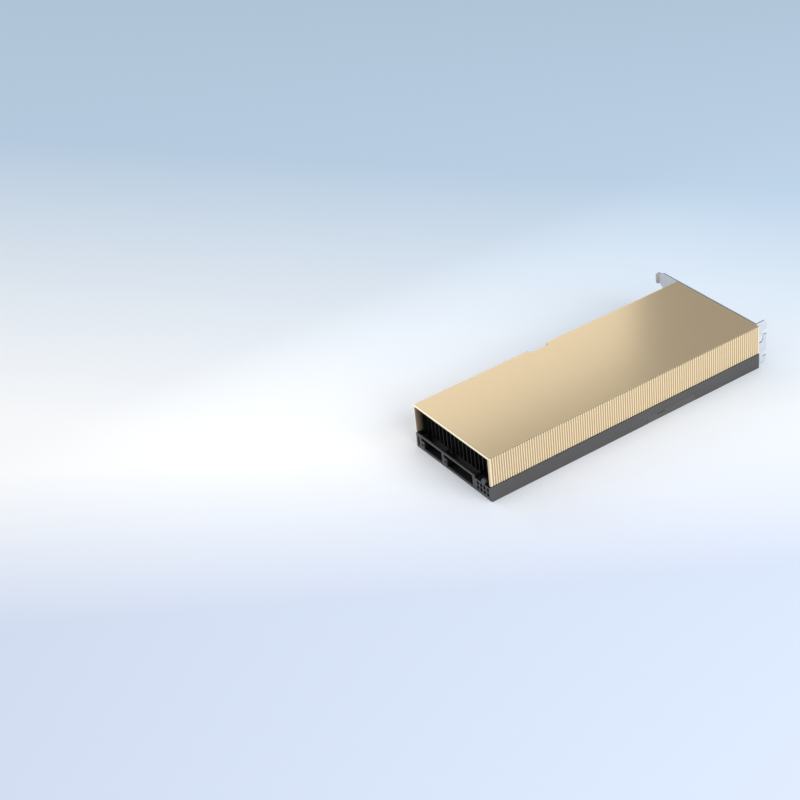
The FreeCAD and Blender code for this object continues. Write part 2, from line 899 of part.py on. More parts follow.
def heatsink_screws():
    head_bottom = board_bottom - spring_plate_thickness - spring_head_height
    screws = []
    for x, y in heatsink_screw_places():
        head = small_rod(spring_head_radius, point(x, y, head_bottom), along_z, spring_head_height)
        shank = small_rod(screw_radius, point(x, y, head_bottom), along_z, base_bottom - head_bottom)
        screws.append(head.fuse(shank).removeSplitter().cut(hex_socket(point(x, y, head_bottom), along_z)))
    return screws


# Power header

def header_bottom():
    return backplate_thickness + header_seat_gap


def header_front_x():
    return front_x + header_recess


def header_rear_x():
    return header_front_x() + header_depth


def latch_top():
    return header_bottom() + header_height + latch_height


def header_column_places():
    return centred(header_columns, header_pitch, (header_near_y + header_far_y) / 2)


def header_row_places():
    return centred(header_rows, header_pitch, header_bottom() + header_height / 2)


def pin_tail_places():
    """Where the lower row's and the upper row's pins go down through the board."""
    first = header_rear_x() + header_shelf + pin_column_gap
    return [first, first + pin_column_gap]


def socket(y, z, keyed):
    """One plug cavity: square, with its two upper corners cut off on the keyed ones."""
    half = socket_size / 2
    if keyed:
        c = socket_chamfer
        outline = [(-half, -half), (half, -half), (half, half - c), (half - c, half), (c - half, half),
                   (-half, half - c)]
    else:
        outline = [(-half, -half), (half, -half), (half, half), (-half, half)]
    x0 = header_front_x()
    return end_prism([(y + dy, z + dz) for dy, dz in outline], x0 - past, x0 + socket_depth)


def bent_pin(y, row):
    """A square pin: straight out of its socket and over the board, then down through it."""
    half = pin_size / 2
    z = header_row_places()[row]
    tail_x = pin_tail_places()[row]
    tip_x = header_front_x() + pin_blade_start
    step_x = header_front_x() + socket_depth + half
    low_z = board_bottom - pin_tail
    rise = pin_rise if row == 0 else 0.0
    outline = [(tip_x, z - half), (step_x + pin_size * (rise > 0), z - half)]
    if rise:
        outline.append((step_x + pin_size, z - half + rise))
    outline += [(tail_x - half, z - half + rise), (tail_x - half, low_z), (tail_x + half, low_z),
                (tail_x + half, z + half + rise)]
    if rise:
        outline.append((step_x, z + half + rise))
    outline += [(step_x, z + half), (tip_x, z + half)]
    return side_prism(outline, y - half, y + half)


def power_connector_pins():
    return [bent_pin(y, row) for row in range(header_rows) for y in header_column_places()]


def power_connector_housing():
    x0 = header_front_x()
    x1 = header_rear_x()
    z0 = header_bottom()
    z1 = z0 + header_height
    body = block(x0, x1, header_near_y, header_far_y, z0, z1)
    shelf = block(x1, x1 + header_shelf, header_near_y, header_far_y, board_top, z1)
    middle = (header_near_y + header_far_y) / 2
    latch = side_prism([(x0, z1), (x0 + latch_length, z1), (x0 + latch_length, z1 + latch_height),
                        (x0 + latch_length / 2, z1 + latch_height)],
                       middle - latch_width / 2, middle + latch_width / 2)
    housing = fused([body, shelf, latch])
    sockets = [socket(y, z, (column + row) % 2 == 0) for column, y in enumerate(header_column_places())
               for row, z in enumerate(header_row_places())]
    return housing.cut(sockets + power_connector_pins())


# Cap over the bridge contacts

def bridge_cover():
    """A skin flush with the side band, a rim that fills the opening, and a slot for a fingernail."""
    x0 = bridge_front_x + bridge_clearance
    x1 = bridge_rear_x - bridge_clearance
    z0 = bridge_clearance
    z1 = bridge_height - bridge_clearance
    cap = block(x0, x1, near_y, near_y + frame_wall, z0, z1)
    hollow = block(x0 + bridge_skin, x1 - bridge_skin, near_y + bridge_skin, near_y + frame_wall + past,
                   z0 + bridge_skin, z1 - bridge_skin)
    grip_x = x0 + grip_from_end
    grip_z = z1 - grip_drop
    grip = block(grip_x, grip_x + grip_length, near_y - past, near_y + frame_wall, grip_z, grip_z + grip_height)
    return cap.cut([hollow, grip])


# Bracket

def bracket_section():
    """The bent sheet seen from above: tab, bend, plate, joggle and tip, all of one thickness."""
    inner = bend_radius
    outer = bend_radius + sheet
    x0 = rear_x
    x1 = rear_x + sheet
    tab_y = near_y + tab_inset
    tip_x = rear_x + tab_length
    end_y = near_y + bracket_reach
    bend_x = x0 + outer
    bend_y = tab_y + outer
    turn = 1 / sqrt(2)
    step_y = end_y - joggle_tip
    plate_y = step_y - joggle_length
    tuck = sheet * tan(atan2(joggle_offset, joggle_length) / 2)
    corners = [
        point(bend_x, tab_y), point(tip_x, tab_y), point(tip_x, tab_y + sheet), point(bend_x, tab_y + sheet),
        point(x1, bend_y), point(x1, plate_y), point(x1 - joggle_offset, step_y), point(x1 - joggle_offset, end_y),
        point(x0 - joggle_offset, end_y), point(x0 - joggle_offset, step_y - tuck), point(x0, plate_y - tuck),
        point(x0, bend_y),
    ]
    edges = [Part.makeLine(a, b) for a, b in zip(corners[:4], corners[1:4])]
    inside = point(bend_x - inner * turn, bend_y - inner * turn)
    edges.append(Part.Arc(corners[3], inside, corners[4]).toShape())
    edges += [Part.makeLine(a, b) for a, b in zip(corners[4:], corners[5:])]
    outside = point(bend_x - outer * turn, bend_y - outer * turn)
    edges.append(Part.Arc(corners[11], outside, corners[0]).toShape())
    return Part.Face(Part.Wire(edges))


def bracket_outline():
    """The flat outline of the plate, with a tail for each slot between a long and a short shoulder."""
    end_y = near_y + bracket_reach
    lower_y = end_y - lower_neck
    upper_y = end_y - upper_neck
    corner = tail_corner
    slot_width = bracket_height - (slot_count - 1) * slot_pitch
    outline = [(near_y, bracket_bottom)]
    for slot in range(slot_count):
        low = bracket_bottom + slot * slot_pitch
        high = low + slot_width
        tail_high = high - tail_drop
        tail_low = tail_high - tail_width
        outline += [
            (lower_y, low), (lower_y + lower_shoulder, tail_low), (end_y - corner, tail_low),
            (end_y, tail_low + corner), (end_y, tail_high - corner), (end_y - corner, tail_high),
            (upper_y + upper_shoulder, tail_high), (upper_y, high),
        ]
    return outline + [(near_y, high)]


def upright_slot(y, z0):
    """A vent with its corners cut off, through the plate."""
    half = vent_width / 2
    top = z0 + vent_height
    c = vent_corner
    outline = [(y - half + c, z0), (y + half - c, z0), (y + half, z0 + c), (y + half, top - c),
               (y + half - c, top), (y - half + c, top), (y - half, top - c), (y - half, z0 + c)]
    return end_prism(outline, rear_x - past, rear_x + sheet + past)


def vents():
    places = fin_places()
    channels = [(a + b) / 2 for a, b in zip(places, places[1:])]
    rows = [vent_bottom + row * (vent_height + vent_gap) for row in range(vent_rows)]
    return [upright_slot(y, z) for y in channels for z in rows]


def tab_cuts():
    """Screw notches open to the tab's edge, the round hole, and the cut-off outer corners."""
    tab_y = near_y + tab_inset
    tip_x = rear_x + tab_length
    radius = screw_notch_width / 2
    y0 = tab_y - past
    depth = sheet + 2 * past
    cuts = [rod(tab_hole_radius, point(rear_x + tab_hole_from_plate, y0, bracket_bottom + tab_hole_height),
                along_y, depth)]
    for slot in range(slot_count):
        z = bracket_bottom + screw_notch_height + slot * slot_pitch
        inner_x = tip_x - screw_notch_depth + radius
        cuts.append(rod(radius, point(inner_x, y0, z), along_y, depth))
        cuts.append(block(inner_x, tip_x + past, y0, y0 + depth, z - radius, z + radius))
    for z, outward in ((bracket_bottom, -1), (bracket_bottom + bracket_height, 1)):
        inward = z - outward * tab_corner
        corner = [(tip_x - tab_corner, z + outward * past), (tip_x - tab_corner, z), (tip_x, inward),
                  (tip_x + past, inward), (tip_x + past, z + outward * past)]
        cuts.append(side_prism(corner, y0, y0 + depth))
    return cuts


def slot_bracket():
    sheet_face = bracket_section()
    sheet_face.translate(point(0, 0, bracket_bottom))
    bent = sheet_face.extrude(point(0, 0, bracket_height))
    bent = bent.common(end_prism(bracket_outline(), rear_x - joggle_offset - past, rear_x + tab_length + past))
    holes = [small_rod(passing_radius, point(rear_x - past, y, bracket_screw_height), along_x, sheet + 2 * past)
             for y in bracket_screw_places()]
    return bent.cut(vents() + tab_cuts() + holes)


def bracket_screws():
    """Low round heads on the plate's outer face."""
    screws = []
    for y in bracket_screw_places():
        top = point(rear_x + sheet + pan_head_height, y, bracket_screw_height)
        head = small_cone(pan_head_top_radius, pan_head_radius, top, -along_x, pan_head_height)
        shank = small_rod(screw_radius, top, -along_x, pan_head_height + sheet + bracket_screw_length)
        screws.append(head.fuse(shank).removeSplitter().cut(hex_socket(top, -along_x)))
    return screws


os.makedirs("parts", exist_ok=True)

save("top_cover", top_cover())
save_group("cover_screws", cover_screws())
save("chassis_frame", chassis_frame())
save("backplate", backplate())
save("insulating_film", insulating_film())
save_group("board_spacers", board_spacers())
save_group("backplate_screws", backplate_screws())
save("circuit_board", circuit_board())
save_group("edge_contacts", edge_contacts())
save_group("bridge_contacts", bridge_contacts())
save("processor_substrate", plate_on(board_top, substrate_size, substrate_size, substrate_thickness))
save("package_interposer", plate_on(substrate_top(), interposer_size, interposer_size, interposer_thickness))
save("processor_die", plate_on(interposer_top(), die_length, die_width, die_thickness))
save_group("memory_stacks", memory_stacks())
save("stiffener_ring", stiffener_ring())
save("thermal_interface", plate_on(die_top(), *compound_span(), compound_thickness))
save_group("power_stages", power_stages())
save_group("inductors", inductors())
save_group("bulk_capacitors", bulk_capacitors())
save_group("ceramic_capacitors", ceramic_capacitors())
save_group("control_chips", control_chips())
save_group("inductor_pads", inductor_pads())
save_group("power_stage_pads", power_stage_pads())
save("heatsink_base", heatsink_base())
save_group("heatsink_fins", heatsink_fins())
save("spring_plate", spring_plate())
save_group("heatsink_screws", heatsink_screws())
save("power_connector_housing", power_connector_housing())
save_group("power_connector_pins", power_connector_pins())
save("bridge_cover", bridge_cover())
save("slot_bracket", slot_bracket())
save_group("bracket_screws", bracket_screws())
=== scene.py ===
import math

import bmesh
import bpy
import numpy as np
from mathutils import Matrix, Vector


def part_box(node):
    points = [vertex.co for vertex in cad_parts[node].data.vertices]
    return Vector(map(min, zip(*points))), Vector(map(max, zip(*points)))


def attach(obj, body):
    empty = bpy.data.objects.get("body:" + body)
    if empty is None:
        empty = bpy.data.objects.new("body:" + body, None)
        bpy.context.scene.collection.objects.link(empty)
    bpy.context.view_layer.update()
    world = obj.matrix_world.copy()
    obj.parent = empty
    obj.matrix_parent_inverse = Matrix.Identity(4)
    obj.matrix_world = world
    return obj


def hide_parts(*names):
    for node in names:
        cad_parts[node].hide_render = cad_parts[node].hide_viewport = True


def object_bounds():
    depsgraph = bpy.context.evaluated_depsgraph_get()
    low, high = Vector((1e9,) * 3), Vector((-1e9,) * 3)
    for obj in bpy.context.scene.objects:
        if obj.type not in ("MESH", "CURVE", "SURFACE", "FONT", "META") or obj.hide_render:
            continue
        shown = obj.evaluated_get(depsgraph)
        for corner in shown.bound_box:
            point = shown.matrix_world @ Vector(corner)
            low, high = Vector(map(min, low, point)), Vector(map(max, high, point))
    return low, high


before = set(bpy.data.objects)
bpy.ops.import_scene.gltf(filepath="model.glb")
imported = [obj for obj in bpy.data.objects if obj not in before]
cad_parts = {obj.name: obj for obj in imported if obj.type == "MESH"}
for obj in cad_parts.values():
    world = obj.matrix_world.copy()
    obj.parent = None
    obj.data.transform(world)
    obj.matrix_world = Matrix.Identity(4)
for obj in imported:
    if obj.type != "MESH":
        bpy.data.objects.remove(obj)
cadLow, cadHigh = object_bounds()
coverLow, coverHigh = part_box("top_cover")
millimetre = 0.001
print("frame loaded:", len(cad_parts), "nodes")


# shader maths: an expression on values adds its own Math nodes

class Value:
    def __init__(self, shader, socket):
        self.shader = shader
        self.socket = socket

    def maths(self, operation, first, second, clamp=False):
        settings = {"operation": operation, "use_clamp": clamp}
        return self.shader.node("ShaderNodeMath", settings, {0: first, 1: second})

    def __add__(self, other):
        return self.maths("ADD", self, other)

    def __sub__(self, other):
        return self.maths("SUBTRACT", self, other)

    def __rsub__(self, other):
        return self.maths("SUBTRACT", other, self)

    def __mul__(self, other):
        return self.maths("MULTIPLY", self, other)

    def __truediv__(self, other):
        return self.maths("DIVIDE", self, other)

    def __lt__(self, other):
        return self.maths("LESS_THAN", self, other)

    def __gt__(self, other):
        return self.maths("GREATER_THAN", self, other)

    __radd__ = __add__

    # 0 below the edge and 1 above it, with a soft step as wide as softness
    def step(self, edge, softness):
        return self.maths("ADD", (self - edge) / softness, 0.5, clamp=True)


class Shader:
    def __init__(self):
        self.material = bpy.data.materials.new("finish")
        self.material.use_nodes = True
        self.tree = self.material.node_tree
        self.tree.nodes.clear()
        self.surface = self.tree.nodes.new("ShaderNodeBsdfPrincipled")
        output = self.tree.nodes.new("ShaderNodeOutputMaterial")
        self.tree.links.new(self.surface.outputs[0], output.inputs[0])
        self.place = self.node("ShaderNodeTexCoord", output="Object")

    def feed(self, socket, value):
        if isinstance(value, Value):
            self.tree.links.new(value.socket, socket)
        elif isinstance(value, tuple) and len(value) < len(socket.default_value):
            socket.default_value = (*value, 1.0)
        else:
            socket.default_value = value

    # any node: its type, its settings, then the values or links of its sockets
    def node(self, kind, settings=None, inputs=None, output=0):
        made = self.tree.nodes.new(kind)
        for key, value in (settings or {}).items():
            setattr(made, key, value)
        for key, value in (inputs or {}).items():
            self.feed(made.inputs[key], value)
        return Value(self, made.outputs[output])

    # the place on the object, in metres
    def axes(self, wanted="XYZ"):
        return [self.node("ShaderNodeSeparateXYZ", {}, {0: self.place}, axis) for axis in wanted]

    # 1 on a face that looks up, 0 on a wall and -1 on a face that looks down
    def upward(self):
        normal = self.node("ShaderNodeNewGeometry", output="Normal")
        return self.node("ShaderNodeSeparateXYZ", {}, {0: normal}, "Z")

    # noise with so many cells to the metre, stretched along the axes where stretch is below 1
    def noise(self, cells, detail=2.0, rough=0.5, stretch=(1, 1, 1)):
        scaled = self.node("ShaderNodeMapping", {}, {"Vector": self.place, "Scale": stretch})
        return self.node("ShaderNodeTexNoise", {}, {"Vector": scaled, "Scale": cells, "Detail": detail,
                                                    "Roughness": rough})

    def mix(self, factor, first, second):
        return self.node("ShaderNodeMix", {"data_type": "RGBA"}, {0: factor, 6: first, 7: second}, output=2)

    def bump(self, height, distance, strength):
        return self.node("ShaderNodeBump", {}, {"Strength": strength, "Distance": distance, "Height": height})

    def finish(self, **sockets):
        for key, value in sockets.items():
            self.feed(self.surface.inputs[key.replace("_", " ")], value)
        return self.material


def fromScreen(red, green, blue):
    # 0-255 display colour to linear
    levels = [c / 255 for c in (red, green, blue)]
    return tuple(c / 12.92 if c <= 0.04045 else ((c + 0.055) / 1.055) ** 2.4 for c in levels)


# finishes: each one is a colour that drifts a little, a grain, and a roughness that follows it

# the finest noises, in cells to the metre
grainCells, pitCells, streakCells = 5200, 3600, 2600


def blasted(s, colour, deeper, driftCells=14):
    # a slow drift between two colours under a fine grain
    drift = s.noise(driftCells, 3.0)
    grain = s.noise(grainCells, 2.0)
    return s.mix((drift * 0.8 + grain * 0.25).step(0.52, 0.6), deeper, colour), drift, grain


def streaked(s, colour, deeper, along):
    # fine streaks over slow clouds, long where along is small
    streak = s.noise(streakCells, 3.0, 0.6, along)
    cloud = s.noise(60, 4.0, 0.6)
    return s.mix((streak * 0.5 + cloud * 0.6).step(0.55, 0.5), deeper, colour), streak, cloud


def anodised(colour, deeper, roughness, metallic):
    s = Shader()
    shade, drift, grain = blasted(s, colour, deeper)
    return s.finish(Base_Color=shade, Roughness=roughness + (grain - 0.5) * 0.16 + (drift - 0.5) * 0.06,
                    Metallic=metallic, Normal=s.bump(grain, 0.04 * millimetre, 0.35))


goldSettings = {
    "colour": fromScreen(235, 211, 172),
    "deeper": fromScreen(230, 206, 166),
    "fluted": fromScreen(252, 231, 193),          # painted light: the fluted wall, lighter than the top face
    "groove": fromScreen(166, 139, 98),           # painted shade in the bottoms of its flutes
    "shadow": fromScreen(52, 40, 22),             # the joint below the cover, and the open tops of the flutes
    "inner": fromScreen(34, 32, 28),              # painted shade inside, away from the open end
    "rim": fromScreen(255, 246, 226),             # painted highlight on the rim round the open end
    "roughness": 0.25,
    "grooveDepth": 0.6 * millimetre,
    # behind the fluted face, in groove depths: where a flute and the wall end, and the inside begins
    "fluteEnd": 1.15,
    "wallEnd": 1.6,
    "innerStartDepth": 3.0,
    "fluteTop": 0.57 * millimetre,                # top face to the middle of the fade at a flute's open top
    "fluteTopFade": 1.2 * millimetre,
    "jointHeight": 0.45 * millimetre,
    "innerTop": 0.67 * millimetre,                # top face to where the inside begins
    "innerWall": 0.9 * millimetre,                # plain side to where the inside begins
    "innerStart": 2.5 * millimetre,               # open end to the middle of the fade
    "innerFade": 9 * millimetre,
    "rimDepth": 0.4 * millimetre,
    "rimTop": 0.97 * millimetre,
    "rimFarWall": 3.7 * millimetre,
}


def goldAnodised(g):
    # painted shade: the colour darkens towards the bottoms of the flutes and, on the inside, away from the
    # open end
    s = Shader()
    x, y, z = s.axes()
    shade, drift, grain = blasted(s, g["colour"], g["deeper"], 11)
    fromEnd, fromTop, fromPlainSide = x - coverLow[0], z - coverHigh[2], y - coverHigh[1]
    depth = (y - coverLow[1]) / g["grooveDepth"]
    onWall = depth < g["wallEnd"]
    inGroove = depth.step(0.45, 0.7) * (depth < g["fluteEnd"])
    # painted light makes the fluted wall lighter, and painted shade darkens the bottoms of its flutes
    shade = s.mix(inGroove * 0.75, s.mix(onWall, shade, g["fluted"]), g["groove"])
    fluteTop = inGroove * fromTop.step(-g["fluteTop"], g["fluteTopFade"])
    shade = s.mix((z < coverLow[2] + g["jointHeight"]) + fluteTop * 0.7, shade, g["shadow"])
    inside = (fromTop < -g["innerTop"]) * (depth > g["innerStartDepth"]) * (fromPlainSide < -g["innerWall"])
    # painted shade inside the cover, deeper away from the open end
    shade = s.mix(inside * fromEnd.step(g["innerStart"], g["innerFade"]), shade, g["inner"])
    # painted highlight on the rim round the open end, near the top face and the plain side
    rimHighlight = ((fromTop > -g["rimTop"]) + (fromPlainSide > -g["rimFarWall"])).step(0.5, 0.1)
    shade = s.mix((fromEnd < g["rimDepth"]) * rimHighlight, shade, g["rim"])
    rough = g["roughness"] + (grain - 0.5) * 0.08 + (drift - 0.5) * 0.04 + onWall * 0.1 + inside * 0.2
    return s.finish(Base_Color=shade, Roughness=rough, Metallic=1.0 - onWall * 0.45 - inside * 0.6,
                    Normal=s.bump(grain, 0.03 * millimetre, 0.12))


def frameAnodised(colour, deeper, inner, roughness, wall):
    # dark grey outside; painted shade makes the faces inside the walls nearly black
    s = Shader()
    x, y, z = s.axes()
    shade, _, grain = blasted(s, colour, deeper)
    acrossInside = (y > coverLow[1] + wall) * (y < coverHigh[1] - wall)
    inside = acrossInside * (x > coverLow[0] + wall) * (z > wall)
    return s.finish(Base_Color=s.mix(inside, shade, inner), Metallic=0.5 - inside * 0.4,
                    Roughness=roughness + (grain - 0.5) * 0.14 + inside * 0.2,
                    Normal=s.bump(grain, 0.03 * millimetre, 0.15))


def cutSheet(colour, deeper, edgeColour, roughness):
    # plated steel sheet whose cut edges, the faces that look up or down, carry painted shade and are darker
    # than its faces
    s = Shader()
    shade, streak, _ = streaked(s, colour, deeper, (1, 1, 0.04))
    up = s.upward()
    # painted shade on the faces that look up or down
    shearedEdgeShade = (up * up).step(0.6, 0.3)
    return s.finish(Base_Color=s.mix(shearedEdgeShade, shade, edgeColour), Metallic=0.5 - shearedEdgeShade * 0.3,
                    Roughness=roughness + (streak - 0.5) * 0.15 + shearedEdgeShade * 0.15,
                    Normal=s.bump(streak, 0.02 * millimetre, 0.3))


def plated(colour, deeper, roughness, along):
    s = Shader()
    shade, streak, cloud = streaked(s, colour, deeper, along)
    return s.finish(Base_Color=shade, Roughness=roughness + (streak - 0.5) * 0.2 + (cloud - 0.5) * 0.1,
                    Metallic=1.0, Normal=s.bump(streak, 0.02 * millimetre, 0.3))


def moulded(colour, deeper, roughness):
    s = Shader()
    pit = s.noise(pitCells, 3.0, 0.6)
    cloud = s.noise(90, 3.0)
    shade = s.mix((pit * 0.5 + cloud * 0.5).step(0.5, 0.5), deeper, colour)
    return s.finish(Base_Color=shade, Roughness=roughness + (pit - 0.5) * 0.2, Metallic=0.0,
                    Normal=s.bump(pit, 0.03 * millimetre, 0.4))


headerSettings = {
    "colour": fromScreen(88, 88, 92),
    "deeper": fromScreen(14, 14, 15),
    "roughness": 0.45,
    "litLength": 5 * millimetre,                  # open end of the cover to the middle of the fade
    "litFade": 3 * millimetre,
    "bodyTop": 12 * millimetre,                   # only the latch is higher
}


def frontLitPlastic(h):
    # painted light and shade: grey at the mating face and on the latch, nearly black further in and on top of
    # the body
    s = Shader()
    x, z = s.axes("XZ")
    pit = s.noise(pitCells, 3.0, 0.6)
    shadedFurtherIn = (x - coverLow[0] + pit * millimetre).step(h["litLength"], h["litFade"])
    shadedTop = s.upward().step(0.6, 0.3) * (z < h["bodyTop"])
    shade = s.mix(shadedTop, s.mix(shadedFurtherIn, h["colour"], h["deeper"]), h["deeper"])
    return s.finish(Base_Color=shade, Roughness=h["roughness"] + (pit - 0.5) * 0.2, Metallic=0.0,
                    Normal=s.bump(pit, 0.03 * millimetre, 0.4))


def boardLaminate(mask, copper, edge):
    # solder mask over a maze of traces; the cut edge of the board shows its bare core
    s = Shader()
    cells = s.node("ShaderNodeTexBrick", {"offset": 0.35, "squash": 0.6, "squash_frequency": 3},
                   {"Vector": s.place, "Scale": 260.0, "Mortar Size": 0.08, "Mortar Smooth": 0.4}, output=1)
    weave = s.noise(900, 2.0)
    up = s.upward()
    shade = s.mix((up * up).step(0.5, 0.2), edge, s.mix(cells * 0.55 + weave * 0.12, mask, copper))
    return s.finish(Base_Color=shade, Roughness=0.42 - cells * 0.08, Metallic=0.0,
                    Normal=s.bump(cells + weave * 0.15, 0.04 * millimetre, 0.5))


def softPad(colour, deeper):
    s = Shader()
    lump = s.noise(420, 4.0, 0.7)
    return s.finish(Base_Color=s.mix(lump, deeper, colour), Roughness=0.85 + (lump - 0.5) * 0.1,
                    Metallic=0.0, Normal=s.bump(lump, 0.05 * millimetre, 0.6))


def polishedSilicon(colour, deeper):
    s = Shader()
    cloud = s.noise(35, 2.0)
    return s.finish(Base_Color=s.mix(cloud, deeper, colour), Roughness=0.12 + cloud * 0.08, Metallic=0.6,
                    Normal=s.bump(cloud, 0.002 * millimetre, 0.2))


finishes = {
    "goldAnodised": goldAnodised(goldSettings),
    "darkAnodised": frameAnodised(fromScreen(95, 94, 94), fromScreen(83, 82, 82), fromScreen(9, 9, 10),
                                  0.45, 1.1 * millimetre),
    "finAnodised": anodised(fromScreen(36, 37, 36), fromScreen(26, 27, 26), 0.5, 0.35),
    # painted shade: the heatsink base is darker than the fins for the shade it lies in
    "baseAnodised": anodised(fromScreen(15, 14, 14), fromScreen(10, 10, 10), 0.5, 0.2),
    "bracketSteel": cutSheet(fromScreen(222, 225, 231), fromScreen(206, 209, 216), fromScreen(34, 38, 44),
                             0.42),
    "zincScrews": plated(fromScreen(190, 190, 192), fromScreen(150, 150, 154), 0.34, (1, 0.03, 1)),
    "blackScrews": anodised(fromScreen(38, 37, 36), fromScreen(26, 26, 26), 0.4, 0.7),
    "boardLaminate": boardLaminate(fromScreen(17, 20, 20), fromScreen(34, 38, 36), fromScreen(54, 50, 38)),
    "contactGold": plated(fromScreen(232, 190, 104), fromScreen(214, 168, 84), 0.24, (1, 0.05, 1)),
    "silicon": polishedSilicon(fromScreen(70, 72, 80), fromScreen(46, 48, 56)),
    "packageLaminate": moulded(fromScreen(44, 92, 58), fromScreen(34, 76, 48), 0.5),
    "thermalCompound": softPad(fromScreen(178, 178, 176), fromScreen(150, 150, 150)),
    "thermalPad": softPad(fromScreen(140, 152, 170), fromScreen(118, 130, 150)),
    "ferrite": moulded(fromScreen(74, 73, 72), fromScreen(54, 53, 52), 0.7),
    "mouldingCompound": moulded(fromScreen(40, 40, 41), fromScreen(28, 28, 29), 0.55),
    "capacitorCeramic": moulded(fromScreen(166, 138, 104), fromScreen(140, 112, 80), 0.5),
    "headerPlastic": frontLitPlastic(headerSettings),
    "tinnedPins": plated(fromScreen(206, 200, 188), fromScreen(178, 172, 160), 0.3, (0.05, 1, 1)),
    "capPlastic": moulded(fromScreen(84, 83, 82), fromScreen(75, 74, 74), 0.5),
    "filmPlastic": moulded(fromScreen(30, 30, 31), fromScreen(22, 22, 23), 0.35),
}
for name, material in finishes.items():
    material.name = name
print("finishes made:", len(finishes))

nodeFinish = {
    "top_cover": "goldAnodised",
    "cover_screws": "blackScrews",
    "chassis_frame": "darkAnodised",
    "backplate": "darkAnodised",
    "insulating_film": "filmPlastic",
    "board_spacers": "zincScrews",
    "backplate_screws": "blackScrews",
    "circuit_board": "boardLaminate",
    "edge_contacts": "contactGold",
    "bridge_contacts": "contactGold",
    "processor_substrate": "packageLaminate",
    "package_interposer": "silicon",
    "processor_die": "silicon",
    "memory_stacks": "silicon",
    "stiffener_ring": "zincScrews",
    "thermal_interface": "thermalCompound",
    "power_stages": "mouldingCompound",
    "inductors": "ferrite",
    "bulk_capacitors": "mouldingCompound",
    "ceramic_capacitors": "capacitorCeramic",
    "control_chips": "mouldingCompound",
    "inductor_pads": "thermalPad",
    "power_stage_pads": "thermalPad",
    "heatsink_base": "baseAnodised",
    "heatsink_fins": "finAnodised",
    "spring_plate": "zincScrews",
    "heatsink_screws": "zincScrews",
    "power_connector_housing": "headerPlastic",
    "power_connector_pins": "tinnedPins",
    "bridge_cover": "capPlastic",
    "slot_bracket": "bracketSteel",
    "bracket_screws": "zincScrews",
}
for node, finish in nodeFinish.items():
    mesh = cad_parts[node].data
    mesh.materials.clear()
    mesh.materials.append(finishes[finish])


# surfaces on a grid of two parameters

def gridFaces(rows, columns, closed=False):
    # corner numbers of the quads between neighbouring rows; closed joins the last column to the first
    row, column = np.meshgrid(np.arange(rows - 1), np.arange(columns - (not closed)), indexing="ij")
    here = row * columns + column
    right = row * columns + (column + 1) % columns
    return np.stack([here, right, right + columns, here + columns], axis=-1).reshape(-1, 4)


def newPiece(name, points, faces, finish, node, smoothAngle):
    nearest = 1e-7    # corners closer than this are one corner
    mesh = bpy.data.meshes.new(name)
    mesh.from_pydata(np.asarray(points, float).reshape(-1, 3).tolist(), [], [list(face) for face in faces])
    work = bmesh.new()
    work.from_mesh(mesh)
    bmesh.ops.remove_doubles(work, verts=work.verts, dist=nearest)
    bmesh.ops.dissolve_degenerate(work, edges=work.edges, dist=nearest)
    bmesh.ops.recalc_face_normals(work, faces=work.faces)
    work.to_mesh(mesh)
    work.free()
    mesh.materials.append(finishes[finish])
    mesh.shade_smooth()
    mesh.set_sharp_from_angle(angle=math.radians(smoothAngle))
    piece = bpy.data.objects.new(name, mesh)
    bpy.context.scene.collection.objects.link(piece)
    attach(piece, "root")
    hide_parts(node)
    return piece


coverSettings = {
    "pitch": 2.19 * millimetre,       # from one flute to the next
    "grooveWidth": 1.3 * millimetre,
    "grooveDepth": 0.62 * millimetre,
    "grooveSteps": 8,
    "wall": 2.2 * millimetre,
    "farWall": 1.3 * millimetre,
    "topSheet": 1.5 * millimetre,
    "farBend": 0.5 * millimetre,      # outside radius of the fold on the plain side
    "bendSteps": 6,
    "farFlat": 2.0 * millimetre,      # plain side to the end of the flat top
    "edgeBreak": 0.15 * millimetre,
    "nearBreak": 0.05 * millimetre,   # the crisper edge above the flutes
    "rimBreak": 0.35 * millimetre,
    "notchRear": -4.0 * millimetre,
    "notchFront": -23.0 * millimetre,
    "notchDepth": 3.6 * millimetre,
    "notchSlope": 1.2 * millimetre,
    "smoothAngle": 24.0,
}


